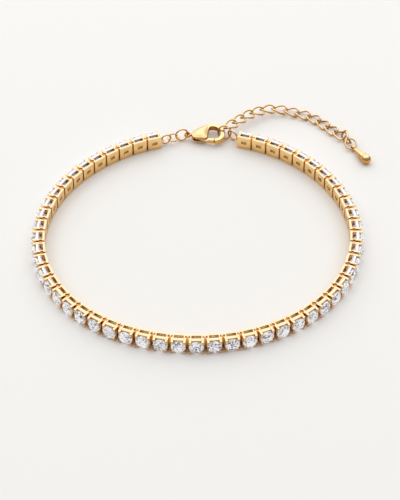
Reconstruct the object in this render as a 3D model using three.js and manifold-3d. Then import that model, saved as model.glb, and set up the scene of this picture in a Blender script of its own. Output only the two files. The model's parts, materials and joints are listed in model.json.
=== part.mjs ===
// Tennis anklet with a lobster clasp and an extender chain, lying on its edge in a loop.
// Millimetres, +Z up, the surface that it lies on is z = 0.
import * as THREE from "three";
import { mergeVertices } from "three/addons/utils/BufferGeometryUtils.js";
import Module from "manifold-3d";

const wasm = await Module();
wasm.setup();

// ---------- driving dimensions ----------

// The loop that the row of settings follows, as a circle with two slow waves in it.
const loop = {
  radius: 36.8,
  waves: [
    { count: 2, height: 0.67, crest: 15 },
    { count: 3, height: 0.27, crest: -33.5 },
  ],
  middleCell: -90.5, // degrees, where the middle setting stands
};
const row = { pitch: 4.0, leftCells: 27, rightCells: 26 };

// One box setting: t runs along the row, n outwards from the wearer, z up.
const cell = {
  height: 3.55,
  width: 3.48,
  waist: 2.84, // width between the base plate and the gallery, which leaves room for the hinges
  plate: 0.5, // base plate, from n = 0
  gallery: 1.3, // n where the gallery that holds the stone begins
  seat: 2.1, // n of the gallery's outer face
  line: 0.95, // n that lies on the loop
  windowWidth: 2.28,
  recessInset: 0.06, // the recess in the end walls is this much narrower on each side than the window
  keyhole: { width: 1.4, height: 1.0 },
};
const prong = { foot: 0.6, tip: 0.42, lean: 0.2, root: 0.1, length: 0.87 };
// The stone: radius and n of its foot inside the gallery, of its girdle and of its table.
const stone = { foot: [1.3, 2.0], girdle: [1.64, 2.6], table: [1.0, 3.25], sides: 8 };
const hinge = { line: 0.925, width: 0.55, height: 2.9, overlap: 0.12, gap: 0.3 };
const lug = { hole: 0.38, rim: 0.32, thickness: 0.6, reach: 1.97 };

const wire = { ring: 0.4, link: 0.46, sides: 5, turns: 12 };

// Round jump rings: centre, radius of the wire's centreline, the heading of the ring's own
// horizontal axis and how far its other axis leans back from upright.
const rings = [
  { name: "jump_ring_left_1", at: [-8.05, 35.66, 1.71], radius: 1.31, heading: 23.2, lean: -2.8 },
  { name: "jump_ring_left_2", at: [-6.17, 36.46, 1.59], radius: 1.34, heading: 27.6, lean: 86.9 },
  { name: "jump_ring_left_3", at: [-4.03, 37.26, 1.8], radius: 1.56, heading: 16.2, lean: 5.7 },
  { name: "jump_ring_clasp", at: [6.68, 38.26, 1.77], radius: 1.64, heading: -12.9, lean: 33.1 },
  { name: "jump_ring_right", at: [8.76, 37.26, 1.67], radius: 1.38, heading: -37.4, lean: -7.7 },
  { name: "extender_end_ring", at: [38.27, 34.29, 1.35], radius: 1.4, heading: 6.5, lean: 63.1 },
];

// Extender: curb links along a path that slopes down from the clasp's ring to the surface. One
// more link stands nearly on its edge between them and the end ring.
const extender = {
  links: 12,
  pitch: 3.05,
  halfLength: 1.92,
  halfWidth: 1.37,
  twist: 0.47,
  path: [
    [8.3, 39.9, 2.75],
    [12.9, 44.5, 2.3],
    [18.3, 47.6, 1.6],
    [24.1, 47.3, 0.9],
    [29.4, 44.9, 0.74],
    [33.7, 40.6, 0.74],
    [37.7, 36.0, 1.4],
  ],
  lastLink: { at: [37.34, 36.48, 1.63], heading: -65.2, roll: 86.5 },
};
const drop = {
  eye: [38.87, 33.25, 0.8],
  ball: [41.82, 28.55, 1.25],
  ballRadius: 1.25,
  eyeRadius: 0.8,
  eyeThickness: 0.7,
  hole: 0.42,
  sides: 12,
};

// Lobster clasp, lying flat: the outline is in the loop's plan.
const clasp = {
  low: 0.88,
  high: 2.12,
  bevel: 0.25,
  eye: { at: [-2.58, 37.56], hole: 0.5, rim: 0.42, thickness: 0.8, sides: 12 },
  outer: [
    [-1.38, 37.95], [0.6, 39.85], [2.9, 41.03], [4.25, 41.15], [5.6, 40.6], [6.5, 39.3], [6.81, 37.9],
    [6.6, 36.5], [5.95, 35.35], [5.15, 34.75], [4.33, 34.6],
  ],
  inner: [
    [4.33, 35.5], [5.05, 35.75], [5.55, 36.65], [5.72, 37.9], [5.45, 39.0], [4.75, 39.8], [3.9, 40.12],
    [2.95, 39.85],
  ],
  jaw: [[2.42, 37.5], [2.1, 35.75], [0.3, 35.75], [-0.5, 35.8], [-1.2, 36.15], [-1.55, 37.0]],
};
const lever = {
  pivot: [-0.3, 36.6],
  heading: -18, // degrees, at rest
  opens: 22,
  length: 4.6,
  width: 0.9,
  bulge: 0.25,
  clearance: 0.2,
  inset: 0.1, // how far its thick end stands back from the clasp's two faces
  tongue: 0.46, // thickness inside the jaw
  slot: 0.76, // height of the slot in the jaw
  barrel: 0.62,
  pin: 0.28,
  bore: 0.4,
  shoulder: 3.0, // distance from the pivot where the tongue grows to full thickness
};

const gold = { color: 0xd9a257, roughness: 0.2, metalness: 1 };
const finishes = {
  settings: { color: 0xe0bd86, roughness: 0.2, metalness: 0.9 },
  chain: gold,
  clasp: gold,
};

// ---------- joining, cutting and placing ----------

const rad = THREE.MathUtils.degToRad;

function solidFrom(geometry) {
  const bare = geometry.clone();
  bare.deleteAttribute("normal");
  bare.deleteAttribute("uv");
  const merged = mergeVertices(bare, 1e-4);
  const corners = merged.index.array;
  const kept = [];
  for (let i = 0; i < corners.length; i += 3) {
    const [a, b, c] = corners.slice(i, i + 3);
    if (a !== b && b !== c && c !== a) kept.push(a, b, c);
  }
  const vertProperties = merged.attributes.position.array;
  return new wasm.Manifold(new wasm.Mesh({ numProp: 3, vertProperties, triVerts: new Uint32Array(kept) }));
}

function geometryFrom(solid) {
  const mesh = solid.getMesh();
  const geometry = new THREE.BufferGeometry()
    .setAttribute("position", new THREE.BufferAttribute(mesh.vertProperties, 3))
    .setIndex(new THREE.BufferAttribute(mesh.triVerts, 1));
  geometry.computeVertexNormals();
  return geometry;
}

const join = (solids) => solids.reduce((sum, solid) => sum.add(solid));

function boxAt(size, centre) {
  return new THREE.BoxGeometry(...size).translate(...centre);
}

// A flat plate of the given outline, from z = low to z = high.
function plate(outline, low, high, holes = []) {
  const shape = new THREE.Shape(outline.map(([x, y]) => new THREE.Vector2(x, y)));
  shape.holes = holes.map((hole) => new THREE.Path(hole.map(([x, y]) => new THREE.Vector2(x, y))));
  return new THREE.ExtrudeGeometry(shape, { depth: high - low, bevelEnabled: false }).translate(0, 0, low);
}

function circle([x, y], radius, sides) {
  return Array.from({ length: sides }, (_, i) => {
    const angle = (2 * Math.PI * (i + 0.5)) / sides;
    return [x + radius * Math.cos(angle), y + radius * Math.sin(angle)];
  });
}

// A closed wire along a closed curve, given as a function of the turn from 0 to 1.
function closedWire(pointAt, thickness) {
  const positions = [];
  const triangles = [];
  const { turns, sides } = wire;
  for (let i = 0; i < turns; i++) {
    const here = pointAt(i / turns);
    const along = pointAt((i + 0.01) / turns).sub(pointAt((i - 0.01) / turns)).normalize();
    const outward = here.clone().addScaledVector(along, -here.dot(along)).normalize();
    const across = new THREE.Vector3().crossVectors(along, outward);
    for (let j = 0; j < sides; j++) {
      const angle = (2 * Math.PI * j) / sides;
      const corner = here
        .clone()
        .addScaledVector(outward, (Math.cos(angle) * thickness) / 2)
        .addScaledVector(across, (Math.sin(angle) * thickness) / 2);
      positions.push(...corner);
      const next = (i + 1) % turns;
      const above = (j + 1) % sides;
      const a = i * sides + j;
      const b = next * sides + j;
      const c = next * sides + above;
      const d = i * sides + above;
      triangles.push(a, c, b, a, d, c);
    }
  }
  const geometry = new THREE.BufferGeometry();
  geometry.setAttribute("position", new THREE.Float32BufferAttribute(positions, 3));
  geometry.setIndex(triangles);
  geometry.computeVertexNormals();
  return geometry;
}

const anklet = new THREE.Group();
anklet.name = "anklet";

function addMesh(name, geometry, finish) {
  const mesh = new THREE.Mesh(geometry, new THREE.MeshStandardMaterial(finish));
  mesh.name = name;
  anklet.add(mesh);
  return mesh;
}

// ---------- the loop ----------

function loopPoint(angle) {
  let radius = loop.radius;
  for (const wave of loop.waves) radius += wave.height * Math.cos(wave.count * (angle - rad(wave.crest)));
  return new THREE.Vector2(radius * Math.cos(angle), radius * Math.sin(angle));
}

// The angle on the loop that lies one pitch further from the given one.
function stepAlongLoop(angle, direction) {
  const from = loopPoint(angle);
  let step = row.pitch / loop.radius;
  for (let i = 0; i < 6; i++) step *= row.pitch / loopPoint(angle + direction * step).distanceTo(from);
  return angle + direction * step;
}

// Places of all settings, from the clasp down the left side, round the front and up the right.
function cellPlaces() {
  const middle = rad(loop.middleCell);
  const angles = [middle];
  for (let i = 1; i < row.leftCells; i++) angles.unshift(stepAlongLoop(angles[0], -1));
  for (let i = 0; i < row.rightCells; i++) angles.push(stepAlongLoop(angles.at(-1), 1));
  return angles.map((angle) => {
    const small = 0.01;
    const t = loopPoint(angle - small).sub(loopPoint(angle + small)).normalize();
    const along = new THREE.Vector3(t.x, t.y, 0);
    const outward = new THREE.Vector3(-t.y, t.x, 0);
    const at = loopPoint(angle);
    return new THREE.Matrix4()
      .makeBasis(along, outward, new THREE.Vector3(0, 0, 1))
      .setPosition(at.x, at.y, 0)
      .multiply(new THREE.Matrix4().makeTranslation(0, -cell.line, 0));
  });
}

// ---------- one setting with its stone ----------

// The box without its prongs: base plate, end walls and gallery, with a window through it from
// top to bottom.
function settingFrame() {
  const w = cell.width / 2;
  const s = cell.waist / 2;
  const v = cell.windowWidth / 2;
  const { plate: p, gallery: g, seat } = cell;
  const from = p + cell.recessInset;
  const to = g - cell.recessInset;
  const outline = [
    [-w, 0], [w, 0], [w, from], [s, from], [s, to], [w, to],
    [w, seat], [-w, seat], [-w, to], [-s, to], [-s, from], [-w, from],
  ];
  const window = [[-v, p], [-v, g], [v, g], [v, p]];
  const frame = solidFrom(plate(outline, 0, cell.height, [window]));
  const keyhole = boxAt([cell.keyhole.width, 2 * p, cell.keyhole.height], [0, p / 2, cell.height / 2]);
  return frame.subtract(solidFrom(keyhole));
}

// A prong is a block on the gallery's corner whose top leans in over the stone.
function prongAt(side, level) {
  const block = new THREE.BoxGeometry(1, 1, 1).translate(0, 0.5, 0);
  const position = block.attributes.position;
  const corner = cell.width / 2;
  for (let i = 0; i < position.count; i++) {
    const top = position.getY(i) > 0.5;
    const size = top ? prong.tip : prong.foot;
    const edge = top ? corner - prong.lean : corner;
    const t = side * (edge - size / 2) + position.getX(i) * size;
    const z = level * (edge - size / 2) + position.getZ(i) * size;
    const n = top ? cell.seat + prong.length : cell.seat - prong.root;
    position.setXYZ(i, t, n, cell.height / 2 + z);
  }
  return solidFrom(block);
}

// The profile runs from the foot over the girdle to the table. The point below the foot is inside
// the gallery and is left out.
function cutStone() {
  const { foot, girdle, table } = stone;
  const corners = [[0, foot[1]], foot, girdle, table, [0, table[1]]];
  const profile = corners.map(([radius, n]) => new THREE.Vector2(radius, n));
  const turned = new THREE.LatheGeometry(profile, stone.sides, Math.PI / stone.sides);
  return solidFrom(turned.translate(0, 0, cell.height / 2));
}

function settingWithStone() {
  const prongs = [-1, 1].flatMap((side) => [-1, 1].map((level) => prongAt(side, level)));
  return geometryFrom(join([settingFrame(), ...prongs, cutStone()]));
}

// The hinge tab reaches from this setting's waist into its neighbour's towards +t, or ends short
// of it where the two halves of the row meet.
const hingeRoot = cell.waist / 2 - hinge.overlap;

function hingeTab(joined) {
  const to = joined ? row.pitch - hingeRoot : row.pitch - cell.width / 2 - hinge.gap;
  const size = [to - hingeRoot, hinge.width, hinge.height];
  return boxAt(size, [(hingeRoot + to) / 2, hinge.line, cell.height / 2]);
}

// A lug with an upright hole, on the end of the row, for a jump ring. The side is 1 or -1.
function endLug(side) {
  const half = lug.thickness / 2;
  const middle = cell.height / 2;
  const at = [side * lug.reach, hinge.line];
  const eye = plate(circle(at, lug.hole + lug.rim, 10), middle - half, middle + half);
  const size = [lug.reach - hingeRoot, 2 * lug.rim, lug.thickness];
  const neck = boxAt(size, [(side * (lug.reach + hingeRoot)) / 2, hinge.line, middle]);
  const hole = plate(circle(at, lug.hole, 8), middle - 1, middle + 1);
  return geometryFrom(solidFrom(eye).add(solidFrom(neck)).subtract(solidFrom(hole)));
}

// ---------- the two halves of the row ----------

function halfRow(places, first, lugSide) {
  const setting = settingWithStone();
  const solids = places.flatMap((place, i) => {
    const pieces = [solidFrom(setting.clone().applyMatrix4(place))];
    if (i > 0 || first.hasTab) pieces.push(solidFrom(hingeTab(i > 0).applyMatrix4(place)));
    return pieces;
  });
  const lugPlace = lugSide > 0 ? places[0] : places.at(-1);
  solids.push(solidFrom(endLug(lugSide).applyMatrix4(lugPlace)));
  return geometryFrom(join(solids));
}

function addRow() {
  const places = cellPlaces();
  const left = places.slice(0, row.leftCells);
  const right = places.slice(row.leftCells);
  addMesh("setting_row_left", halfRow(left, { hasTab: false }, 1), finishes.settings);
  addMesh("setting_row_right", halfRow(right, { hasTab: true }, -1), finishes.settings);
}

// ---------- rings and the extender ----------

function addRings() {
  for (const ring of rings) {
    const heading = rad(ring.heading);
    const lean = rad(ring.lean);
    const level = new THREE.Vector3(Math.cos(heading), Math.sin(heading), 0);
    const back = new THREE.Vector3(-level.y, level.x, 0);
    const rising = new THREE.Vector3(0, 0, Math.cos(lean)).addScaledVector(back, Math.sin(lean));
    const pointAt = (turn) => {
      const angle = 2 * Math.PI * turn;
      return new THREE.Vector3()
        .addScaledVector(level, ring.radius * Math.cos(angle))
        .addScaledVector(rising, ring.radius * Math.sin(angle));
    };
    addMesh(ring.name, closedWire(pointAt, wire.ring).translate(...ring.at), finishes.chain);
  }
}

// A curb link: an oval whose two ends are twisted against each other, so that all links lie alike.
function curbLink(along, roll = 0) {
  const across = new THREE.Vector3(-along.y, along.x, 0).normalize().applyAxisAngle(along, roll);
  const up = new THREE.Vector3().crossVectors(along, across);
  const pointAt = (turn) => {
    const angle = 2 * Math.PI * turn;
    return new THREE.Vector3()
      .addScaledVector(along, extender.halfLength * Math.cos(angle))
      .addScaledVector(across, extender.halfWidth * Math.sin(angle))
      .addScaledVector(up, extender.twist * Math.sin(2 * angle));
  };
  return closedWire(pointAt, wire.link);
}

function addExtender() {
  const path = new THREE.CatmullRomCurve3(extender.path.map((point) => new THREE.Vector3(...point)));
  const fine = path.getSpacedPoints(2000);
  const centres = [fine[0]];
  for (const point of fine) {
    if (centres.length > extender.links) break;
    if (point.distanceTo(centres.at(-1)) >= extender.pitch) centres.push(point);
  }
  for (let i = 0; i < extender.links; i++) {
    const before = centres[Math.max(i - 1, 0)];
    const along = centres[i + 1].clone().sub(before).normalize();
    const name = "extender_link_" + String(i + 1).padStart(2, "0");
    addMesh(name, curbLink(along).translate(...centres[i]), finishes.chain);
  }
  const { at, heading, roll } = extender.lastLink;
  const along = new THREE.Vector3(Math.cos(rad(heading)), Math.sin(rad(heading)), 0);
  addMesh("extender_link_13", curbLink(along, rad(roll)).translate(...at), finishes.chain);
}

// The drop is turned round its long axis, with a flat eye across its thin end.
function addDrop() {
  const eye = new THREE.Vector3(...drop.eye);
  const ball = new THREE.Vector3(...drop.ball);
  const length = eye.distanceTo(ball);
  const r = drop.ballRadius;
  const profile = [
    [0, 0.45],
    [0.42, 0.45],
    [0.5, 1.2],
    [0.72, 0.45 * length],
    [1.02, length - 1.35 * r],
    [0.96 * r, length - 0.4 * r],
    [r, length],
    [0.87 * r, length + 0.5 * r],
    [0.5 * r, length + 0.87 * r],
    [0, length + r],
  ].map(([radius, along]) => new THREE.Vector2(radius, along));
  const body = solidFrom(new THREE.LatheGeometry(profile, drop.sides));
  const half = drop.eyeThickness / 2;
  const sideways = new THREE.Matrix4().makeRotationY(Math.PI / 2);
  const disc = plate(circle([0, 0], drop.eyeRadius, 10), -half, half).applyMatrix4(sideways);
  const hole = plate(circle([0, 0], drop.hole, 8), -1, 1).applyMatrix4(sideways);
  const solid = body.add(solidFrom(disc)).subtract(solidFrom(hole));
  const mesh = addMesh("drop", geometryFrom(solid), finishes.chain);
  const along = ball.clone().sub(eye).normalize();
  const level = new THREE.Vector3(along.y, -along.x, 0).normalize();
  const basis = new THREE.Matrix4().makeBasis(level, along, new THREE.Vector3().crossVectors(level, along));
  mesh.setRotationFromMatrix(basis);
  mesh.position.copy(eye);
}

// ---------- the clasp ----------

function claspBody() {
  const { low, high, bevel, eye } = clasp;
  const middle = (low + high) / 2;
  const outline = [...clasp.outer, ...clasp.inner, ...clasp.jaw];
  const shape = new THREE.Shape(outline.map(([x, y]) => new THREE.Vector2(x, y)));
  const hook = new THREE.ExtrudeGeometry(shape, {
    depth: high - low - 2 * bevel,
    bevelThickness: bevel,
    bevelSize: bevel,
    bevelOffset: -bevel,
    bevelSegments: 1,
  }).translate(0, 0, low + bevel);
  const half = eye.thickness / 2;
  const rim = plate(circle(eye.at, eye.hole + eye.rim, eye.sides), middle - half, middle + half);
  const neckLength = 0.9;
  const neck = boxAt(
    [neckLength, 2 * eye.rim, eye.thickness],
    [eye.at[0] + eye.hole + eye.rim / 2 + neckLength / 2, eye.at[1], middle],
  );
  const hole = plate(circle(eye.at, eye.hole, eye.sides), low, high);
  return join([hook, rim, neck].map(solidFrom)).subtract(solidFrom(hole)).subtract(solidFrom(leverSlot()));
}

// The slot in the jaw is open at the lower side, and clears the lever from shut to open.
function leverSlot() {
  const middle = (clasp.low + clasp.high) / 2;
  const [x, y] = lever.pivot;
  const round = lever.barrel + lever.clearance;
  const side = lever.width / 2 + lever.clearance;
  const opened = rad(lever.heading + lever.opens);
  const far = lever.length;
  const outline = [
    [x - round, y - 2],
    [x - round, y + 0.5 * round],
    [x - 0.5 * round, y + round],
    [x, y + round],
    [x + far * Math.cos(opened), y + far * Math.sin(opened) + side],
    [x + far, y - 2],
  ];
  return plate(outline, middle - lever.slot / 2, middle + lever.slot / 2);
}

function claspPin() {
  const pin = plate(circle(lever.pivot, lever.pin, 8), clasp.low, clasp.high);
  return solidFrom(pin);
}

// The lever in its own frame: the pivot at the origin, +x towards the hook's end.
function leverSolid() {
  const half = lever.width / 2;
  const bulge = lever.bulge;
  const start = lever.barrel * 0.6;
  const bar = [
    [start, -half], [0.5 * lever.length, -half - bulge], [lever.length, -half],
    [lever.length, half], [0.5 * lever.length, half - bulge], [start, half],
  ];
  const thick = clasp.high - clasp.low - 2 * lever.inset;
  const end = [
    [lever.shoulder, -half - 0.7 * bulge], [lever.length, -half],
    [lever.length, half], [lever.shoulder, half - 0.7 * bulge],
  ];
  const solid = join([
    solidFrom(plate(circle([0, 0], lever.barrel, 10), -lever.tongue / 2, lever.tongue / 2)),
    solidFrom(plate(bar, -lever.tongue / 2, lever.tongue / 2)),
    solidFrom(plate(end, -thick / 2, thick / 2)),
  ]);
  return solid.subtract(solidFrom(plate(circle([0, 0], lever.bore, 8), -1, 1)));
}

function addClasp() {
  addMesh("clasp_body", geometryFrom(claspBody().add(claspPin())), finishes.clasp);
  const mesh = addMesh("clasp_lever", geometryFrom(leverSolid()), finishes.clasp);
  mesh.rotation.z = rad(lever.heading);
  mesh.position.set(...lever.pivot, (clasp.low + clasp.high) / 2);
}

// ---------- the whole anklet ----------

addRow();
addRings();
addExtender();
addDrop();
addClasp();

// The origin is on the surface, under the middle of the whole piece.
const bounds = new THREE.Box3().setFromObject(anklet, true);
const middle = bounds.getCenter(new THREE.Vector3());
anklet.position.set(-middle.x, -middle.y, -bounds.min.z);

export default anklet;
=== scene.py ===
import json
import math

import bmesh
import bpy
import numpy as np
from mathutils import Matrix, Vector


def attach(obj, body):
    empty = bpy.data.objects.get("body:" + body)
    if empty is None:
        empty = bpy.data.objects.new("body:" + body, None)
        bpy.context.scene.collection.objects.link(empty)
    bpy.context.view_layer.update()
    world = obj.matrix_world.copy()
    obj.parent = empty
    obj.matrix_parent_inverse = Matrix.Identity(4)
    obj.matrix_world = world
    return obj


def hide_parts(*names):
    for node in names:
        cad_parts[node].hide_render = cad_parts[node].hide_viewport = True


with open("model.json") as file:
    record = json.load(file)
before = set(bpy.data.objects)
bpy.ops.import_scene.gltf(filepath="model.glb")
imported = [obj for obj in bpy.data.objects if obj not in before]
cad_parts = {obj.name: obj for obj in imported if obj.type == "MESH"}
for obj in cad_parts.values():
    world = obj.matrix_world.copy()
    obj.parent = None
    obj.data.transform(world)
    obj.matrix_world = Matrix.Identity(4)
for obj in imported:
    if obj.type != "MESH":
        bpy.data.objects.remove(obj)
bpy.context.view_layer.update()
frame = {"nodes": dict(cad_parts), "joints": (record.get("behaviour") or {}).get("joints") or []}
mm = 0.001

# Shapes are drawn in millimetres on a plan whose origin is the middle of the loop. The lever's
# pivot is known there and in the frame, which gives the way from the one to the other.
leverPivot = (-0.3, 36.6)
hingeAt = frame["joints"][0]["pos_m"]
loopCentre = np.array([hingeAt[0] - leverPivot[0] * mm, hingeAt[1] - leverPivot[1] * mm, 0.0])
print("frame loaded, loop centre at", loopCentre.round(6))


class Signal:
    def __init__(self, tree, socket):
        self.tree = tree
        self.socket = socket

    def maths(self, operation, *parts):
        node = self.tree.nodes.new("ShaderNodeMath")
        node.operation = operation
        for slot, part in zip(node.inputs, parts):
            feed(self.tree, slot, part)
        return Signal(self.tree, node.outputs[0])

    def __add__(self, other):
        return self.maths("ADD", self, other)

    def __radd__(self, other):
        return self.maths("ADD", other, self)

    def __sub__(self, other):
        return self.maths("SUBTRACT", self, other)

    def __rsub__(self, other):
        return self.maths("SUBTRACT", other, self)

    def __mul__(self, other):
        return self.maths("MULTIPLY", self, other)

    def __rmul__(self, other):
        return self.maths("MULTIPLY", other, self)

    def clamped(self):
        return self.maths("MINIMUM", self.maths("MAXIMUM", self, 0.0), 1.0)


def feed(tree, slot, part):
    if isinstance(part, Signal):
        tree.links.new(part.socket, slot)
    else:
        slot.default_value = part


class Graph:
    def __init__(self, tree):
        self.tree = tree
        tree.nodes.clear()

    def add(self, kind, settings=None, inputs=None, output=0):
        node = self.tree.nodes.new("ShaderNode" + kind)
        for key, value in (settings or {}).items():
            if key == "stops":
                setStops(node.color_ramp, value)
            else:
                setattr(node, key, value)
        for key, value in (inputs or {}).items():
            feed(self.tree, node.inputs[key], value)
        return Signal(self.tree, node.outputs[output]) if len(node.outputs) else None

    def mix(self, factor, first, second):
        settings = {"data_type": "RGBA"}
        return self.add("Mix", settings, {0: factor, 6: first, 7: second}, 2)

    def attribute(self, name):
        return self.add("Attribute", {"attribute_name": name}, output=2)


def setStops(ramp, stops):
    while len(ramp.elements) > 1:
        ramp.elements.remove(ramp.elements[-1])
    for i, (place, colour) in enumerate(stops):
        element = ramp.elements[0] if i == 0 else ramp.elements.new(place)
        element.position = place
        element.color = (*colour, 1)


def newMaterial(name):
    material = bpy.data.materials.new(name)
    material.use_nodes = True
    return material, Graph(material.node_tree)


goldLook = {
    "colour": (0.96, 0.67, 0.31),
    # the next colour is the random tarnish of the clouds, and also the painted shade at the foot
    "tarnishAndFootShade": (0.84, 0.47, 0.14),
    "upper": (0.86, 0.69, 0.43),  # painted highlight: where it faces up it is painted paler, as the light from above shows on it
    "upperFrom": 0.25,  # upward part of the normal from which the painted highlight starts
    "upperSlope": 1.4,
    "recess": (0.66, 0.30, 0.07),  # painted shade in the gaps and hollows
    "footShadeHeight": 1.5,  # millimetres over which the foot is darkened by painted shade
    "footShadeShare": 0.65,
    "dusk": (0.52, 0.47, 0.50),  # painted reflection of the stone's dark depth, on the bars
    # painted reflection of the light, white on the bars at the sides and back
    "pale": (0.97, 0.97, 0.98),
    "roughness": 0.13,
    "wornRoughness": 0.24,
    "wear": 2.0,  # how strongly clouds and scratches together roughen it
    "cloudScale": 0.5,  # per millimetre
    "cloudDetail": 3.0,
    "cloudFrom": 0.35,  # noise from which the plating starts to tarnish
    "cloudSlope": 0.9,
    "scratchScale": 9.0,
    "scratchDetail": 4.0,
    "scratchStretch": (1, 1, 4),
    "bump": 0.03,
    "bumpDepth": 0.05,  # millimetres
}
chainLook = dict(
    goldLook, colour=(0.70, 0.37, 0.10), tarnishAndFootShade=(0.48, 0.21, 0.05), upper=(0.94, 0.69, 0.36),
    upperFrom=0.45, upperSlope=2.2, recess=(0.24, 0.09, 0.02), cloudScale=1.6, footShadeShare=0.0,
)
claspLook = dict(
    goldLook, colour=(0.78, 0.44, 0.13), tarnishAndFootShade=(0.60, 0.29, 0.07), upper=(0.95, 0.72, 0.40),
    upperFrom=0.66, upperSlope=2.9, recess=(0.20, 0.06, 0.02), roughness=0.16, footShadeShare=0.0,
)


def goldMaterial(name, look):
    material, graph = newMaterial(name)
    place = graph.add("TexCoord", output=3)
    inMillimetres = graph.add("VectorMath", {"operation": "SCALE"}, {0: place, 3: 1 / mm})
    clouds = graph.add(
        "TexNoise", None,
        {"Vector": inMillimetres, "Scale": look["cloudScale"], "Detail": look["cloudDetail"]},
    )
    stretched = graph.add(
        "VectorMath", {"operation": "MULTIPLY"}, {0: inMillimetres, 1: look["scratchStretch"]}
    )
    scratches = graph.add(
        "TexNoise", None,
        {"Vector": stretched, "Scale": look["scratchScale"], "Detail": look["scratchDetail"]},
    )
    pale, recess, dusk = (graph.attribute(name) for name in ("pale", "recess", "dusk"))
    facing = graph.add("SeparateXYZ", None, {0: graph.add("NewGeometry", output=1)}, 2)
    clouded = ((clouds - look["cloudFrom"]) * look["cloudSlope"]).clamped()
    plating = graph.mix(clouded, (*look["colour"], 1), (*look["tarnishAndFootShade"], 1))
    # painted highlight: faces that look up take the paler colour
    paintedLight = ((facing - look["upperFrom"]) * look["upperSlope"]).clamped()
    highlighted = graph.mix(paintedLight, plating, (*look["upper"], 1))
    height = graph.add("SeparateXYZ", None, {0: inMillimetres}, 2)
    # painted shade: darker towards the floor
    foot = ((look["footShadeHeight"] - height) * (look["footShadeShare"] / look["footShadeHeight"])).clamped()
    footShaded = graph.mix(foot, highlighted, (*look["tarnishAndFootShade"], 1))
    # painted shade in the gaps between settings, on the tabs, in the clasp's slot and at the links'
    # ends
    hidden = graph.mix(recess, footShaded, (*look["recess"], 1))
    # painted reflection: the bars' dark strip
    dimmed = graph.mix(dusk, hidden, (*look["dusk"], 1))
    # painted reflection: the white bars
    colour = graph.mix(pale, dimmed, (*look["pale"], 1))
    rougher = (clouds * scratches * look["wear"]).clamped()
    rough = look["roughness"] + (look["wornRoughness"] - look["roughness"]) * rougher
    bump = graph.add(
        "Bump", None,
        {"Strength": look["bump"], "Distance": look["bumpDepth"] * mm, "Height": scratches},
    )
    surface = graph.add(
        "BsdfPrincipled", None,
        {"Base Color": colour, "Metallic": 1.0, "Roughness": rough, "Normal": bump},
    )
    graph.add("OutputMaterial", None, {"Surface": surface})
    return material


gold = goldMaterial("polishedGold", chainLook)
settingGold = goldMaterial("settingGold", goldLook)
claspGold = goldMaterial("claspGold", claspLook)


# the stones' colours are painted: light, grey and dark facets are painted sparkle and reflections
stoneLook = {
    "white": (0.97, 0.97, 0.98),
    "lavender": (0.60, 0.58, 0.64),
    "grey": (0.28, 0.28, 0.30),
    "dark": (0.03, 0.03, 0.035),
    "mauve": (0.36, 0.31, 0.33),  # painted reflection in the deep facets, seen from behind
    "mauveLight": (0.62, 0.59, 0.62),
    "amber": (0.72, 0.42, 0.14),  # painted reflection of the gold in the lower facets
    "roughness": 0.03,
    "refraction": 2.15,
    "sparkScale": 3.0,  # painted inner reflections per millimetre
    "tintShare": 0.45,  # of a facet's painted brightness, what is set for that facet alone
    "sparkShare": 0.55,
    # painted brightness from which each colour shows, on the crown and on the facets seen from
    # behind
    "crown": [(0.0, "dark"), (0.19, "dark"), (0.2, "grey"), (0.31, "grey"), (0.32, "lavender"),
              (0.46, "lavender"), (0.47, "white"), (0.62, "white"), (0.63, "lavender"),
              (0.7, "lavender"), (0.71, "white")],
    "behind": [(0.0, "grey"), (0.22, "mauve"), (0.5, "mauve"), (0.55, "mauveLight")],
    "glow": 0.60,  # painted glow: light that the lowest facets seem to gather and send back, given as emission
    "glowShare": 0.45,  # of the painted glow, what the upper facets send back
}


def stoneMaterial(look):
    material, graph = newMaterial("cutStone")
    place = graph.add("TexCoord", output=3)
    inMillimetres = graph.add("VectorMath", {"operation": "SCALE"}, {0: place, 3: 1 / mm})
    tint, deep, amber = (graph.attribute(name) for name in ("tint", "deep", "amber"))
    # painted sparkle: random cells and facet tints choose each facet's brightness
    cells = graph.add(
        "TexVoronoi", {"feature": "F1"}, {"Vector": inMillimetres, "Scale": look["sparkScale"]}, 1
    )
    spark = graph.add("SeparateColor", None, {0: cells})
    level = (tint * look["tintShare"] + spark * look["sparkShare"]).clamped()
    ramps = []
    for side in ("crown", "behind"):
        stops = [(start, look[name]) for start, name in look[side]]
        ramps.append(graph.add("ValToRGB", {"stops": stops}, {0: level}))
    crown, behind = ramps
    # painted reflection of the gold in the lower pavilion facets
    below = graph.mix(amber, behind, (*look["amber"], 1))
    colour = graph.mix(deep, crown, below)
    # painted glow: the emission is full on the crown facets that face down and weaker elsewhere
    lift = graph.attribute("lift")
    dimmed = graph.mix(1 - look["glowShare"], colour, (0, 0, 0, 1))
    sentBack = graph.mix(lift, dimmed, colour)
    surface = graph.add(
        "BsdfPrincipled",
        None,
        {"Base Color": colour, "Metallic": 0.0, "Roughness": look["roughness"],
         "IOR": look["refraction"], "Emission Color": sentBack, "Emission Strength": look["glow"]},
    )
    graph.add("OutputMaterial", None, {"Surface": surface})
    return material


stone = stoneMaterial(stoneLook)


def toFrame(points):
    # from millimetres on the loop's plan to metres in the frame
    return np.asarray(points, float) * mm + loopCentre


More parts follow.
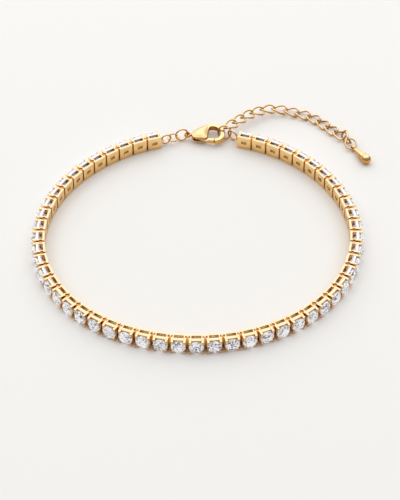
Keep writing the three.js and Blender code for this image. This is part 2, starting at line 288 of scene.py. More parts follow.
def addPiece(name, points, faces, material, body="anklet", replaced=(), sharpFrom=35,
             values=None):
    # values are numbers for each face or each corner, which the materials read by their names
    mesh = bpy.data.meshes.new(name)
    mesh.from_pydata(toFrame(points).tolist(), [], [tuple(face) for face in faces])
    for key, numbers in (values or {}).items():
        domain = "FACE" if len(numbers) == len(mesh.polygons) else "POINT"
        mesh.attributes.new(key, "FLOAT", domain).data.foreach_set("value", numbers)
    mesh.materials.append(material)
    piece = bpy.data.objects.new(name, mesh)
    bpy.context.scene.collection.objects.link(piece)
    if sharpFrom:
        mesh.polygons.foreach_set("use_smooth", [True] * len(mesh.polygons))
        mesh.set_sharp_from_angle(angle=math.radians(sharpFrom))
    mesh.update()
    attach(piece, body)
    if replaced:
        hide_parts(*replaced)


def joined(parts):
    points, faces, start = [], [], 0
    for somePoints, someFaces in parts:
        points.append(np.asarray(somePoints, float))
        faces += [[corner + start for corner in face] for face in someFaces]
        start += len(somePoints)
    return np.concatenate(points), faces


def bevelled(points, faces, width, sharpFrom=20):
    mesh = bmesh.new()
    corners = [mesh.verts.new(p) for p in points]
    for face in faces:
        mesh.faces.new([corners[i] for i in face])
    bmesh.ops.recalc_face_normals(mesh, faces=mesh.faces)
    limit = math.radians(sharpFrom)
    edges = [e for e in mesh.edges if len(e.link_faces) == 2 and e.calc_face_angle() > limit]
    bmesh.ops.bevel(mesh, geom=edges, offset=width, segments=2, profile=0.5, affect="EDGES",
                    clamp_overlap=True)
    mesh.verts.index_update()
    made = (np.array([v.co for v in mesh.verts]), [[v.index for v in f.verts] for f in mesh.faces])
    mesh.free()
    return made


def weld(points, faces, nearest=0.002):
    # a closed body without double corners or faces, which a boolean needs
    mesh = bmesh.new()
    corners = [mesh.verts.new(p) for p in points]
    for face in faces:
        try:
            mesh.faces.new([corners[i] for i in face])
        except ValueError:
            continue
    bmesh.ops.remove_doubles(mesh, verts=mesh.verts, dist=nearest)
    bmesh.ops.recalc_face_normals(mesh, faces=mesh.faces)
    mesh.verts.index_update()
    made = (np.array([v.co for v in mesh.verts]), [[v.index for v in f.verts] for f in mesh.faces])
    mesh.free()
    return made


def cut(body, tool):
    made = []
    for name, (points, faces) in (("body", weld(*body)), ("tool", weld(*tool))):
        mesh = bpy.data.meshes.new(name)
        mesh.from_pydata(np.asarray(points).tolist(), [], [tuple(f) for f in faces])
        piece = bpy.data.objects.new(name, mesh)
        bpy.context.scene.collection.objects.link(piece)
        made.append(piece)
    modifier = made[0].modifiers.new("cut", "BOOLEAN")
    modifier.operation = "DIFFERENCE"
    modifier.solver = "EXACT"
    modifier.object = made[1]
    graph = bpy.context.evaluated_depsgraph_get()
    mesh = bpy.data.meshes.new_from_object(made[0].evaluated_get(graph))
    result = (np.array([v.co for v in mesh.vertices]), [list(p.vertices) for p in mesh.polygons])
    for piece in made:
        bpy.data.objects.remove(piece)
    return result


def ringStack(rings, closed=False):
    # a skin over rings of corners, with a cap on each end or, when closed, back to the first ring
    rings = [np.asarray(ring, float) for ring in rings]
    sides = len(rings[0])
    faces = []
    last = len(rings) if closed else len(rings) - 1
    for i in range(last):
        here, there = i * sides, ((i + 1) % len(rings)) * sides
        for j in range(sides):
            k = (j + 1) % sides
            faces.append([here + j, here + k, there + k, there + j])
    if not closed:
        faces.append(list(range(sides))[::-1])
        faces.append([(len(rings) - 1) * sides + j for j in range(sides)])
    return np.concatenate(rings), faces


def wire(centreLine, radius, sides):
    # the section's first axis looks away from the middle of the closed line
    line = np.asarray(centreLine, float)
    middle = line.mean(0)
    along = np.roll(line, -1, 0) - np.roll(line, 1, 0)
    along /= np.linalg.norm(along, axis=1)[:, None]
    outward = line - middle
    outward -= along * (outward * along).sum(1)[:, None]
    outward /= np.linalg.norm(outward, axis=1)[:, None]
    across = np.cross(along, outward)
    angles = np.arange(sides) * 2 * math.pi / sides
    rings = [
        here + radius * (np.cos(angles)[:, None] * out + np.sin(angles)[:, None] * side)
        for here, out, side in zip(line, outward, across)
    ]
    return ringStack(rings, closed=True)


def eyelet(shape, centre, first, second, axis, turns, sides):
    # a flattened ring round a hole, lying in the plane of the first two directions
    section = np.arange(sides) * 2 * math.pi / sides
    radius = shape["hole"] + shape["rim"] / 2 + shape["rim"] / 2 * np.cos(section)
    height = shape["thickness"] / 2 * np.sin(section)
    first, second, axis = (np.asarray(part, float) for part in (first, second, axis))
    rings = []
    for angle in np.arange(turns) * 2 * math.pi / turns:
        out = math.cos(angle) * first + math.sin(angle) * second
        rings.append(centre + radius[:, None] * out + height[:, None] * axis)
    return ringStack(rings, closed=True)


# A setting has axes of its own: t along the row, n outwards and z up. All sizes are millimetres.
loopShape = {
    "radius": 36.8,
    "waves": [(2, 0.67, 15), (3, 0.27, -33.5)],  # how many, height, and the degree of a crest
    "middleCell": -90.5,  # degrees
}
rowShape = {
    "pitch": 4.0, "left": 27, "right": 26,  # millimetres, and the settings of each half
    "line": 0.95,  # n that lies on the loop
    "seed": {"left": 7, "right": 11},  # for the turn and the tints of the stones
}
cellShape = {
    "height": 3.55, "width": 3.48, "waist": 2.84, "window": 2.28,
    "plate": 0.5, "gallery": 1.3, "mirror": 1.62, "seat": 2.1,  # n of each layer's outer face
    "inset": 0.06, "edge": 0.13, "barEdge": 0.8,  # the last as a share of the edge
    "bore": 1.42, "boreBack": 0.4, "boreOut": 1.0, "boreSides": 40,
    "keyWide": 1.4, "keyHigh": 1.0, "keyRound": 0.35,
}
prongShape = {
    "inset": 0.02, "sides": 12, "squareness": 0.2,
    # n, distance of the prong's middle from the outer faces, half width, roundness
    "steps": [(1.95, 0.29, 0.29, 0.0), (2.55, 0.29, 0.29, 0.0), (2.75, 0.31, 0.28, 0.15),
              (2.88, 0.36, 0.25, 0.4), (2.95, 0.43, 0.19, 0.7), (2.97, 0.50, 0.10, 1.0)],
}
# radius and n of each ring of corners, from the table down to the point
brilliant = {
    "table": (1.0, 3.25), "star": (1.36, 3.01), "girdleTop": (1.70, 2.66), "girdle": (1.70, 2.54),
    "knee": (1.22, 1.45), "low": (0.98, 0.85), "point": 0.58,
}
hingeShape = {
    "line": 0.925, "width": 0.85, "height": 3.1, "reach": 2.7, "edge": 0.06,
    "overlap": 0.1,  # how far a tab or lug runs into its setting
    "gap": 0.09,  # between the two halves
}
lugShape = {"hole": 0.38, "rim": 0.32, "thickness": 0.6, "reach": 1.97, "edge": 0.06}


def loopPoint(angle):
    radius = loopShape["radius"]
    for count, height, crest in loopShape["waves"]:
        radius += height * math.cos(count * (angle - math.radians(crest)))
    return np.array([radius * math.cos(angle), radius * math.sin(angle)])


def stepAlong(angle, direction):
    start = loopPoint(angle)
    step = rowShape["pitch"] / loopShape["radius"]
    for _ in range(6):
        step *= rowShape["pitch"] / np.linalg.norm(loopPoint(angle + direction * step) - start)
    return angle + direction * step


def cellAngles():
    angles = [math.radians(loopShape["middleCell"])]
    for _ in range(rowShape["left"] - 1):
        angles.insert(0, stepAlong(angles[0], -1))
    for _ in range(rowShape["right"]):
        angles.append(stepAlong(angles[-1], 1))
    return angles[: rowShape["left"]], angles[rowShape["left"]:]


def placed(points, angle):
    # from a setting's own axes to the loop's plan
    small = 0.01
    t = loopPoint(angle - small) - loopPoint(angle + small)
    t /= np.linalg.norm(t)
    outward = np.array([-t[1], t[0]])
    plan = loopPoint(angle) + points[:, :1] * t + (points[:, 1:2] - rowShape["line"]) * outward
    return np.column_stack([plan, points[:, 2]])


def extruded(outline, low, high, axis=2):
    flat = np.asarray(outline, float)
    lower = np.insert(flat, axis, low, axis=1)
    upper = np.insert(flat, axis, high, axis=1)
    return ringStack([lower, upper])


def roundedBox(width, height, radius, turns=5):
    corners = []
    for k, (x, y) in enumerate([(1, 1), (-1, 1), (-1, -1), (1, -1)]):
        for i in range(turns + 1):
            angle = math.pi / 2 * (k + i / turns)
            corners.append([
                x * (width / 2 - radius) + radius * math.cos(angle),
                y * (height / 2 - radius) + radius * math.sin(angle),
            ])
    return np.array(corners)


def boxFrame():
    # base plate and end walls in one, with the keyhole through the plate
    c = cellShape
    w, s, v = c["width"] / 2, c["waist"] / 2, c["window"] / 2
    low, high = c["plate"], c["gallery"]
    first, last = low + c["inset"], high - c["inset"]
    right = [(w, 0), (w, first), (s, first), (s, last), (w, last), (w, c["seat"]),
             (v, c["seat"]), (v, low)]
    box = extruded(right + [(-x, y) for x, y in right[::-1]], 0, c["height"])
    box = cut(box, stoneBore())
    keyhole = roundedBox(c["keyWide"], c["keyHigh"], c["keyRound"]) + [0, c["height"] / 2]
    box = cut(box, extruded(keyhole, -1, (low + high) / 2, axis=1))
    return bevelled(*box, c["edge"], sharpFrom=40)


def stoneBore():
    # the round body that is cut out for the stone, from behind the gallery to past its face
    c = cellShape
    turn = np.arange(c["boreSides"]) * 2 * math.pi / c["boreSides"]
    middle = c["height"] / 2
    circle = np.column_stack([c["bore"] * np.cos(turn), middle + c["bore"] * np.sin(turn)])
    return extruded(circle, c["gallery"] - c["boreBack"], c["seat"] + c["boreOut"], axis=1)


def galleryBars(first, last):
    # the bars above and below the stone's point, hollowed for the stone
    c = cellShape
    v = c["window"] / 2
    bars = extruded([(-v, first), (v, first), (v, last), (-v, last)], 0, c["height"])
    return bevelled(*cut(bars, stoneBore()), c["edge"] * c["barEdge"], sharpFrom=40)


def cornerProng(side, level):
    p = prongShape
    middle = cellShape["height"] / 2
    angles = (np.arange(p["sides"]) + 0.5) * 2 * math.pi / p["sides"]
    rings = []
    for n, inwards, size, roundness in p["steps"]:
        # from a rounded square to a circle
        power = p["squareness"] + (1 - p["squareness"]) * roundness
        x = np.sign(np.cos(angles)) * np.abs(np.cos(angles)) ** power
        z = np.sign(np.sin(angles)) * np.abs(np.sin(angles)) ** power
        t = side * (cellShape["width"] / 2 - p["inset"] - inwards) + x * size
        up = middle + level * (middle - p["inset"] - inwards) + z * size
        rings.append(np.column_stack([t, np.full(len(angles), n), up]))
    return ringStack(rings)


def block(size, middle, edge):
    outline = np.array([[-0.5, -0.5], [0.5, -0.5], [0.5, 0.5], [-0.5, 0.5]])
    points, faces = extruded(outline, -0.5, 0.5)
    return bevelled(points * size + middle, faces, edge)


def hingeLink():
    h = hingeShape
    start = cellShape["waist"] / 2 - h["overlap"]
    size = [h["reach"] - start, h["width"], h["height"]]
    return block(size, [(start + h["reach"]) / 2, h["line"], cellShape["height"] / 2], h["edge"])


def endLug(side):
    g, line, middle = lugShape, hingeShape["line"], cellShape["height"] / 2
    centre = [side * g["reach"], line, middle]
    eye = eyelet(g, centre, (1, 0, 0), (0, 1, 0), (0, 0, 1), turns=32, sides=12)
    start = cellShape["waist"] / 2 - hingeShape["overlap"]
    length = g["reach"] - g["hole"] - start
    size = [length, 2 * g["rim"], g["thickness"]]
    return joined([eye, block(size, [side * (start + length / 2), line, middle], g["edge"])])


def brilliantStone():
    # 8 main facets a side, stars and halves between them, and a full pavilion down to the point
    b = brilliant
    half = math.pi / 8

    def ring(name, steps):
        radius, n = b[name]
        angles = [step * half for step in steps]
        return [[radius * math.cos(angle), n, radius * math.sin(angle)] for angle in angles]

    points = ring("table", range(0, 16, 2)) + ring("star", range(1, 16, 2))
    points += ring("girdleTop", range(16)) + ring("girdle", range(16))
    points += ring("knee", range(16)) + ring("low", range(1, 16, 2))
    points.append([0, b["point"], 0])
    star, upper, lower, knee, low, culet = 8, 16, 32, 48, 64, 72  # each ring's first corner
    faces = [list(range(8))]
    for k in range(8):
        after, before, even, odd = (k + 1) % 8, (k + 7) % 8, 2 * k, 2 * k + 1
        faces.append([k, after, star + k])
        faces.append([k, star + k, upper + even])
        faces.append([k, upper + even, star + before])
        faces.append([star + k, upper + odd, upper + even])
        faces.append([star + k, upper + 2 * after, upper + odd])
        faces.append([low + before, knee + even, low + k])
        faces.append([low + k, knee + even, knee + odd])
        faces.append([low + k, knee + odd, knee + 2 * after])
        faces.append([culet, low + before, low + k])
    for k in range(16):
        after = (k + 1) % 16
        faces.append([upper + k, upper + after, lower + after, lower + k])
        faces.append([lower + k, lower + after, knee + after, knee + k])
    return np.array(points), faces, cellShape["height"] / 2


# painted reflection: how white the gallery's bars are painted, in degrees round the loop, the
# middle of the front at 90
paleness = {"at": [0, 22, 30, 150, 158, 360], "share": [1, 1, 0, 0, 1, 1]}
# painted shade in the gaps between the settings
gapShade = {
    "facing": 0.8,  # how squarely a wall faces its neighbour to count as one of the gap's
    "margin": 0.1,  # millimetres outside the window
    "share": 0.85,
}
# height below the stone's middle under which the painted gold reflection shows in the facets, and
# the painted glow is sent back
facetShade = {"amberBelow": 0.1, "liftBelow": 0.5}


def barPaleness(angle):
    return float(np.interp(-math.degrees(angle) % 360, paleness["at"], paleness["share"]))


def recessOf(basket):
    # painted shade on the end walls' outer faces, deep in the gaps between the settings
    corners, faces = basket
    shares = []
    for face in faces:
        middle = corners[face].mean(0)
        normal = np.cross(corners[face[1]] - corners[face[0]], corners[face[2]] - corners[face[1]])
        size = np.linalg.norm(normal)
        sideways = abs(normal[0]) / size > gapShade["facing"] if size > 1e-12 else False
        beside = abs(middle[0]) > cellShape["window"] / 2 + gapShade["margin"]
        outside = beside and middle[1] < cellShape["seat"]
        shares.append(gapShade["share"] if sideways and outside else 0.0)
    return shares


def addRow(side, angles, lugSide, hasFirstTab):
    # half of the row: its settings and tabs as one piece, its stones as another
    basket = joined([boxFrame()] + [cornerProng(x, z) for x in (-1, 1) for z in (-1, 1)])
    hidden = recessOf(basket)
    c = cellShape
    bars = galleryBars(c["gallery"], c["seat"])
    dark, bright = galleryBars(c["gallery"], c["mirror"]), galleryBars(c["mirror"], c["seat"])
    link = hingeLink()
    parts, pale, recess, dusk = [], [], [], []
    for i, angle in enumerate(angles):
        share = barPaleness(angle)
        pieces = [(basket, hidden, 0, 0)]
        # at the sides and back, the bars' inner strip is painted with a dark reflection and the
        # outer strip with a white one
        if share:
            pieces += [(dark, None, 0, share), (bright, None, share, 0)]
        else:
            pieces.append((bars, None, 0, 0))
        for (corners, faces), deep, white, dim in pieces:
            parts.append((placed(corners, angle), faces))
            recess += deep or [0.0] * len(faces)
            pale += [float(white)] * len(faces)
            dusk += [float(dim)] * len(faces)
        if i > 0 or hasFirstTab:
            pale += [0.0] * len(link[1])
            dusk += [0.0] * len(link[1])
            # the tabs between the settings are painted fully in shade
            recess += [1.0] * len(link[1])
            points = link[0].copy()
            if i == 0:
                reach = rowShape["pitch"] - c["width"] / 2 - hingeShape["gap"]
                points[:, 0] = np.minimum(points[:, 0], reach)
            parts.append((placed(points, angle), link[1]))
    lug = endLug(lugSide)
    for shares in (pale, recess, dusk):
        shares += [0.0] * len(lug[1])
    parts.append((placed(lug[0], angles[0] if lugSide > 0 else angles[-1]), lug[1]))
    points, faces = joined(parts)
    values = {"pale": pale, "recess": recess, "dusk": dusk}
    addPiece("settings_" + side, points, faces, settingGold,
             replaced=["setting_row_" + side], values=values)

    corners, stoneFaces, middle = brilliantStone()
    means = np.array([corners[face].mean(0) for face in stoneFaces])
    pavilion = means[:, 1] < brilliant["girdle"][1]
    random = np.random.default_rng(rowShape["seed"][side])
    parts, tints, amber, lift = [], [], [], []
    for angle in angles:
        turn = random.uniform(0, math.pi / 4)
        cos, sin = math.cos(turn), math.sin(turn)
        points = np.column_stack([
            corners[:, 0] * cos - corners[:, 2] * sin, corners[:, 1],
            middle + corners[:, 0] * sin + corners[:, 2] * cos,
        ])
        parts.append((placed(points, angle), stoneFaces))
        tints += random.uniform(0, 1, len(stoneFaces)).tolist()
        rise = means[:, 0] * sin + means[:, 2] * cos
        # painted reflection of the gold on the pavilion facets that face down
        amber += (pavilion & (rise < -facetShade["amberBelow"])).astype(float).tolist()
        # painted glow on the crown facets that face down
        lift += np.where(pavilion, 0, np.clip(-rise - facetShade["liftBelow"], 0, 1)).tolist()
    points, faces = joined(parts)
    deep = pavilion.astype(float).tolist() * len(angles)
    values = {"tint": tints, "amber": amber, "deep": deep, "lift": lift}
    addPiece("stones_" + side, points, faces, stone, sharpFrom=0, values=values)
    print("row", side, len(angles), "settings")


leftAngles, rightAngles = cellAngles()
addRow("left", leftAngles, 1, False)
addRow("right", rightAngles, -1, True)


wireShape = {
    "ring": 0.215, "link": 0.245,  # radii
    "paintedLight": 0.93,  # painted shade: share of a link's half length beyond which it is darkened where the next link passes through
    "endShadeShare": 0.6, "turns": 56, "sides": 14,
}
linkShape = {"halfLength": 1.92, "halfWidth": 1.37, "twist": 0.47}
wireTurn = np.arange(wireShape["turns"]) * 2 * math.pi / wireShape["turns"]


def nodeAxes(node):
    # middle and main directions of a CAD node's corners, in millimetres on the loop's plan
    mesh = frame["nodes"][node].data
    corners = np.zeros(len(mesh.vertices) * 3)
    mesh.vertices.foreach_get("co", corners)
    corners = np.unique(corners.reshape(-1, 3).round(7), axis=0)
    corners = (corners - loopCentre) / mm
    centre = corners.mean(0)
    _, _, axes = np.linalg.svd(corners - centre, full_matrices=False)
    axes[2] = np.cross(axes[0], axes[1])
    return centre, axes, corners


def addRing(node):
    centre, axes, corners = nodeAxes(node)
    flat = (corners - centre) @ axes[:2].T
    radius = np.linalg.norm(flat, axis=1).mean()
    circle = np.cos(wireTurn)[:, None] * axes[0] + np.sin(wireTurn)[:, None] * axes[1]
    line = centre + radius * circle
    points, faces = wire(line, wireShape["ring"], wireShape["sides"])
    addPiece(node + "_wire", points, faces, gold, replaced=[node])


def addLink(node):
    centre, axes, _ = nodeAxes(node)
    line = (
        centre
        + linkShape["halfLength"] * np.cos(wireTurn)[:, None] * axes[0]
        + linkShape["halfWidth"] * np.sin(wireTurn)[:, None] * axes[1]
        + linkShape["twist"] * np.sin(2 * wireTurn)[:, None] * axes[2]
    )
    points, faces = wire(line, wireShape["link"], wireShape["sides"])
    # painted shade on the two ends, where the next links pass through
    shadedEnds = np.abs(np.cos(wireTurn)) > wireShape["paintedLight"]
    hidden = np.repeat(shadedEnds * wireShape["endShadeShare"], wireShape["sides"]).tolist()
    addPiece(node + "_wire", points, faces, gold, replaced=[node],
             values={"recess": hidden})


for name in sorted(frame["nodes"]):
    if name.startswith("jump_ring") or name == "extender_end_ring":
        addRing(name)
    elif name.startswith("extender_link"):
        addLink(name)
print("rings and links made")


dropShape = {
    "eye": (38.87, 33.25, 0.8), "hole": 0.42, "rim": 0.38, "thickness": 0.7,
    "neck": [(0.40, 0.6), (0.42, 0.8), (0.46, 1.2)],  # radius, and distance from the eye
    "flare": [(0.58, 0.33), (0.74, 0.47), (0.90, 0.6)],  # radius, and share of the way to the ball
    "shoulder": (1.05, 1.2),  # radius, and how many ball radii before the ball's middle
    "ball": (41.82, 28.55, 1.25), "ballRadius": 1.25, "ballFrom": 125, "ballSteps": 12,  # degrees
    "tip": 0.02, "sides": 40,
}


def addDrop():
    d = dropShape
    eye, ball = np.array(d["eye"]), np.array(d["ball"])
    length = np.linalg.norm(ball - eye)
    along = (ball - eye) / length
    level = np.array([along[1], -along[0], 0])
    level /= np.linalg.norm(level)
    up = np.cross(level, along)
    r = d["ballRadius"]
    # the body flows from the neck into the ball
    profile = d["neck"] + [(radius, share * length) for radius, share in d["flare"]]
    profile.append((d["shoulder"][0], length - d["shoulder"][1] * r))
    for i in range(d["ballSteps"]):
        angle = math.radians(d["ballFrom"] - i * d["ballFrom"] / d["ballSteps"])
        profile.append((r * math.sin(angle), length + r * math.cos(angle)))
    profile.append((d["tip"], length + r))
    angles = np.arange(d["sides"]) * 2 * math.pi / d["sides"]
    circle = np.cos(angles)[:, None] * level + np.sin(angles)[:, None] * up
    body = ringStack([eye + along * reach + radius * circle for radius, reach in profile])
    # the eye stands on edge, with its hole level
    loop = eyelet(d, eye, up, along, -level, turns=32, sides=14)
    points, faces = joined([body, loop])
    addPiece("drop_polished", points, faces, gold, replaced=["drop"], sharpFrom=50)
    print("drop made")


addDrop()


# Outlines are corners on the loop's plan, which a smooth curve joins.
claspShape = {
    "low": 0.88, "high": 2.12, "steps": 5,
    "eye": (-2.58, 37.56), "hole": 0.5, "rim": 0.42, "thickness": 0.8,
    "neckFrom": 0.68,  # from the eye's middle
    "neckTo": (-1.0, 37.5), "neckRadii": (0.36, 0.5),
    "outer": [(-1.38, 37.95), (0.6, 39.85), (2.9, 41.03), (4.25, 41.15), (5.6, 40.6), (6.5, 39.3),
              (6.81, 37.9), (6.6, 36.5), (5.95, 35.35), (5.15, 34.75), (4.26, 34.6)],
    "inner": [(4.26, 35.5), (5.05, 35.75), (5.55, 36.65), (5.72, 37.9), (5.45, 39.0), (4.75, 39.8),
              (3.9, 40.12), (2.95, 39.85)],
    "jaw": [(2.42, 37.5), (2.1, 35.75), (0.3, 35.75), (-0.5, 35.8), (-1.2, 36.15), (-1.55, 37.0)],
    "crest": [(-1.38, 37.95), (0.6, 39.85), (2.6, 40.9), (2.75, 39.5)],  # of the dome, with the jaw
    # size of each layer of the dome, and how far it rises above and sinks below the flat body
    "dome": [(0.90, 0.17, 0.1), (0.80, 0.31, 0.18), (0.70, 0.42, 0.24), (0.58, 0.52, 0.28),
             (0.44, 0.60, 0.31), (0.28, 0.65, 0.33)],
    "melt": 0.08, "cell": 0.08, "rounds": 34,  # grown by, then rounded in so many rounds
    "slot": 0.76, "slotOut": 2.0, "rivet": 0.3, "rivetHead": 0.02,
    "opening": (3.9, 37.7), "openingReach": 2.9,  # middle of the hook's opening
    "shade": 0.6, "shadeFrom": 0.4, "shadeSlope": 2.0,  # on walls that face the opening
}
leverShape = {
    "heading": -18, "opens": 22,  # degrees
    "length": 4.6, "width": 0.9, "bulge": 0.25, "clearance": 0.2, "inset": 0.1,
    "tongue": 0.46, "tongueEdge": 0.08, "root": 0.6,  # where the bar starts, of the barrel's radius
    "barrel": 0.62, "bore": 0.4, "chamfer": 0.06, "shoulder": 3.0, "cell": 0.07, "rounds": 6,
}


def smoothClosed(outline, steps):
    # a closed curve through all corners
    corners = np.asarray(outline, float)
    count = len(corners)
    made = []
    for i in range(count):
        a, b, c, d = (corners[(i + k) % count] for k in (-1, 0, 1, 2))
        for s in np.arange(steps) / steps:
            made.append(
                0.5 * (2 * b + (c - a) * s + (2 * a - 5 * b + 4 * c - d) * s * s
                       + (3 * b - a - 3 * c + d) * s ** 3)
            )
    return np.array(made)


def melted(parts, cellSize, rounds):
    # fuses closed bodies into one and rounds their edges, as casting and tumbling do
    mesh = bpy.data.meshes.new("rough")
    points, faces = joined(parts)
    mesh.from_pydata(points.tolist(), [], [tuple(face) for face in faces])
    piece = bpy.data.objects.new("rough", mesh)
    bpy.context.scene.collection.objects.link(piece)
    remesh = piece.modifiers.new("remesh", "REMESH")
    remesh.mode = "VOXEL"
    remesh.voxel_size = cellSize
    smooth = piece.modifiers.new("smooth", "SMOOTH")
    smooth.factor = 0.5
    smooth.iterations = rounds
    graph = bpy.context.evaluated_depsgraph_get()
    made = bpy.data.meshes.new_from_object(piece.evaluated_get(graph))
    result = (np.array([v.co for v in made.vertices]), [list(p.vertices) for p in made.polygons])
    bpy.data.objects.remove(piece)
    return result


def addClaspBody():
    c, v = claspShape, leverShape
    middle = (c["low"] + c["high"]) / 2
    outline = smoothClosed(c["outer"] + c["inner"] + c["jaw"], c["steps"])
    grown = c["melt"]
    layers = [weld(*extruded(shrunk(outline, -grown), c["low"] - grown, c["high"] + grown))]
    body = smoothClosed(c["crest"] + c["jaw"], c["steps"])
    for size, rise, sink in c["dome"]:
        inner = body.mean(0) + (body - body.mean(0)) * size
        layers.append(weld(*extruded(inner, c["low"] - sink, c["high"] + rise)))
    x, y = leverPivot
    around = v["barrel"] + v["clearance"]
    side = v["width"] / 2 + v["clearance"]
    opened = math.radians(v["heading"] + v["opens"])
    far, out = v["length"], c["slotOut"]
    slot = [
        (x - around, y - out), (x - around, y + 0.5 * around), (x - 0.5 * around, y + around),
        (x, y + around), (x + far * math.cos(opened), y + far * math.sin(opened) + side),
        (x + far, y - out),
    ][::-1]
    hook = melted(layers, c["cell"], c["rounds"])
    hook = cut(hook, extruded(slot, middle - c["slot"] / 2, middle + c["slot"] / 2))
    recess = claspShade(hook, middle)
    centre = [*c["eye"], middle]
    eye = eyelet(c, centre, (1, 0, 0), (0, 1, 0), (0, 0, 1), turns=36, sides=14)
    start = (c["eye"][0] + c["neckFrom"], c["eye"][1], middle)
    neck = widening(start, (*c["neckTo"], middle), *c["neckRadii"])
    pin = rivet((x, y, c["low"] - c["rivetHead"]), (x, y, c["high"] + c["rivetHead"]), c["rivet"])
    points, faces = joined([hook, eye, neck, pin])
    recess += [0.0] * (len(faces) - len(recess))
    addPiece("clasp_body_polished", points, faces, claspGold,
             replaced=["clasp_body"], sharpFrom=40, values={"recess": recess})


def claspShade(hook, middle):
    # painted shade: dark on the slot's two flat faces, and on the walls that face the opening
    c, tiny = claspShape, 0.01
    corners, faces = hook
    shares = []
    for face in faces:
        ring = corners[face]
        centre = ring.mean(0)
        flat = np.ptp(ring[:, 2]) < tiny
        if flat and abs(abs(centre[2] - middle) - c["slot"] / 2) < tiny:
            shares.append(1.0)
            continue
        normal = np.cross(ring[1] - ring[0], ring[2] - ring[1])
        normal /= max(np.linalg.norm(normal), 1e-12)
        inwards = np.array([*c["opening"], centre[2]]) - centre
        distance = np.linalg.norm(inwards)
        lookingIn = normal @ inwards / max(distance, 1e-12)
        share = min(max(lookingIn * c["shadeSlope"] - c["shadeFrom"], 0), 1)
        shares.append(c["shade"] * share if distance < c["openingReach"] else 0.0)
    return shares


def shrunk(outline, inset):
    # moves every corner inwards, whichever way round the outline runs
    before, after = np.roll(outline, 1, 0), np.roll(outline, -1, 0)
    along = after - before
    along /= np.linalg.norm(along, axis=1)[:, None]
    inwards = np.column_stack([-along[:, 1], along[:, 0]])
    area = (outline[:, 0] * after[:, 1] - after[:, 0] * outline[:, 1]).sum()
    return outline + inwards * inset * (1 if area > 0 else -1)


def widening(start, end, first, second, sides=16):
    # a round bar from one radius to another, which widens late
    start, end = np.array(start, float), np.array(end, float)
    along = (end - start) / np.linalg.norm(end - start)
    side = np.cross(along, [0, 0, 1])
    side /= np.linalg.norm(side)
    up = np.cross(side, along)
    angles = np.arange(sides) * 2 * math.pi / sides
    rings = []
    for share in (0, 0.25, 0.5, 0.75, 1):
        radius = first + (second - first) * share ** 1.5
        rings.append(
            start + (end - start) * share
            + radius * (np.cos(angles)[:, None] * side + np.sin(angles)[:, None] * up)
        )
    return ringStack(rings)


def rivet(start, end, radius, bevel=0.06, sides=24):
    # an upright pin with both rims bevelled
    start, end = np.array(start, float), np.array(end, float)
    angles = np.arange(sides) * 2 * math.pi / sides
    circle = np.column_stack([np.cos(angles), np.sin(angles), np.zeros(sides)])
    up = np.array([0, 0, bevel])
    small, full = circle * (radius - bevel), circle * radius
    return ringStack([start + small, start + up + full, end - up + full, end + small])


def addClaspLever():
    c, v = claspShape, leverShape
    half, bulge, start = v["width"] / 2, v["bulge"], v["barrel"] * v["root"]
    middle = (c["low"] + c["high"]) / 2
    far, shoulder = v["length"], v["shoulder"]

    def curved(first, last, offset, steps=8):
        # a side of the bar; both are bowed away from the hook's opening
        made = []
        for s in np.linspace(0, 1, steps):
            x = first + (last - first) * s
            share = min(x / far, 1)
            made.append((x, offset - bulge * math.sin(math.pi * share)))
        return made

    bar = curved(start, far, -half) + curved(far, start, half)
    end = curved(shoulder, far, -half, 5) + curved(far, shoulder, half, 5)
    thick = c["high"] - c["low"] - 2 * v["inset"]
    barMesh = bevelled(*extruded(bar, -v["tongue"] / 2, v["tongue"] / 2), v["tongueEdge"])
    endMesh = melted([weld(*extruded(end, -thick / 2, thick / 2))], v["cell"], v["rounds"])
    rim = v["barrel"] - v["chamfer"]
    # radius and height, as a share of the tongue's thickness
    section = [(v["bore"], -0.5), (rim, -0.5), (v["barrel"], -0.4), (v["barrel"], 0.4), (rim, 0.5),
               (v["bore"], 0.5)]
    rings = []
    for angle in np.arange(36) * 2 * math.pi / 36:
        across, along = math.cos(angle), math.sin(angle)
        rings.append([(r * across, r * along, h * v["tongue"]) for r, h in section])
    barrel = ringStack(rings, closed=True)
    points, faces = joined([barMesh, endMesh, barrel])
    turn = math.radians(v["heading"])
    x = points[:, 0] * math.cos(turn) - points[:, 1] * math.sin(turn) + leverPivot[0]
    y = points[:, 0] * math.sin(turn) + points[:, 1] * math.cos(turn) + leverPivot[1]
    points = np.column_stack([x, y, points[:, 2] + middle])
    addPiece("clasp_lever_polished", points, faces, claspGold, body="clasp_lever",
             replaced=["clasp_lever"], sharpFrom=40)


addClaspBody()
addClaspLever()
print("clasp made")


studio = {
    "floorSize": 3.0, "floorBelow": 0.00004,  # metres, the second just under the anklet
    "floorColour": (0.975, 0.955, 0.922), "floorShade": (0.93, 0.91, 0.88), "shadeShare": 0.1,
    "floorRoughness": 0.7, "grainScale": 400.0, "grainDetail": 4.0,
    "horizon": 0.13, "zenith": 0.42,  # brightness of the light from all round
    "horizonTo": 0.08, "zenithFrom": 0.4,  # heights on the sky's unit ball
    "fill": (0.99, 1.0, 1.015),  # its tint
    "lamp": 19.2, "lampSize": 2.5, "lampAt": (-0.05, 0.54, 0.66),  # watts and metres
    "elevation": 43.12, "distance": 538.64, "target": (0.52, -3.194, 0.0),  # degrees, millimetres
    "lens": 162.4, "sensor": 36, "clip": (0.01, 10),
}


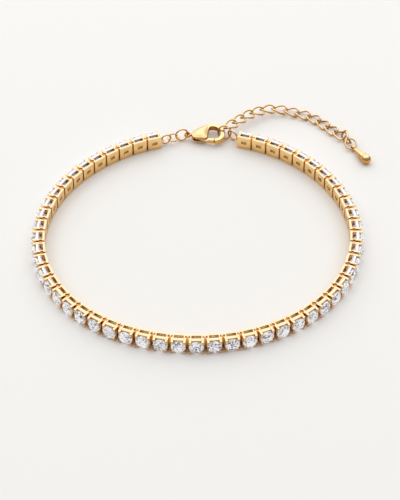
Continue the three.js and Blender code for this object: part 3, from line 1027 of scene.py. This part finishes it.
def addFloor():
    half = studio["floorSize"] / 2
    mesh = bpy.data.meshes.new("floor")
    corners = [(-half, -half), (half, -half), (half, half), (-half, half)]
    mesh.from_pydata([(x, y, -studio["floorBelow"]) for x, y in corners], [], [(0, 1, 2, 3)])
    material, graph = newMaterial("paleFloor")
    grain = {"Scale": studio["grainScale"], "Detail": studio["grainDetail"]}
    noise = graph.add("TexNoise", None, grain)
    colour = graph.mix(
        noise * studio["shadeShare"], (*studio["floorColour"], 1), (*studio["floorShade"], 1)
    )
    roughness = studio["floorRoughness"]
    surface = graph.add("BsdfPrincipled", None, {"Base Color": colour, "Roughness": roughness})
    graph.add("OutputMaterial", None, {"Surface": surface})
    mesh.materials.append(material)
    floor = bpy.data.objects.new("floor", mesh)
    bpy.context.scene.collection.objects.link(floor)


def addLight():
    world = bpy.data.worlds.new("studio")
    bpy.context.scene.world = world
    world.use_nodes = True
    graph = Graph(world.node_tree)
    place = graph.add("TexCoord", output=0)
    height = graph.add("SeparateXYZ", None, {0: place}, 2)
    low, high = studio["horizon"], studio["zenith"]
    dim, bright = (tuple(part * level for part in studio["fill"]) for level in (low, high))
    stops = [(0.0, dim), (studio["horizonTo"], dim), (studio["zenithFrom"], bright)]
    level = graph.add("ValToRGB", {"stops": stops}, {0: height})
    light = graph.add("Background", None, {"Color": level, "Strength": 1.0})
    graph.add("OutputWorld", None, {"Surface": light})
    lamp = bpy.data.lights.new("softbox", "AREA")
    lamp.shape = "SQUARE"
    lamp.size = studio["lampSize"]
    lamp.energy = studio["lamp"]
    piece = bpy.data.objects.new("softbox", lamp)
    bpy.context.scene.collection.objects.link(piece)
    piece.location = studio["lampAt"]
    piece.rotation_euler = (-piece.location).to_track_quat("-Z", "Y").to_euler()


def addCamera():
    camera = bpy.data.cameras.new("camera")
    camera.lens = studio["lens"]
    camera.sensor_width = studio["sensor"]
    piece = bpy.data.objects.new("camera", camera)
    bpy.context.scene.collection.objects.link(piece)
    tilt = math.radians(studio["elevation"])
    target = Vector(toFrame([studio["target"]])[0])
    back = Vector((0, -math.cos(tilt), math.sin(tilt)))
    piece.location = target + back * studio["distance"] * mm
    piece.rotation_euler = (-back).to_track_quat("-Z", "Y").to_euler()
    camera.clip_start, camera.clip_end = studio["clip"]
    bpy.context.scene.camera = piece


addFloor()
addLight()
addCamera()
bpy.context.scene.view_settings.view_transform = "Standard"
print("studio made")
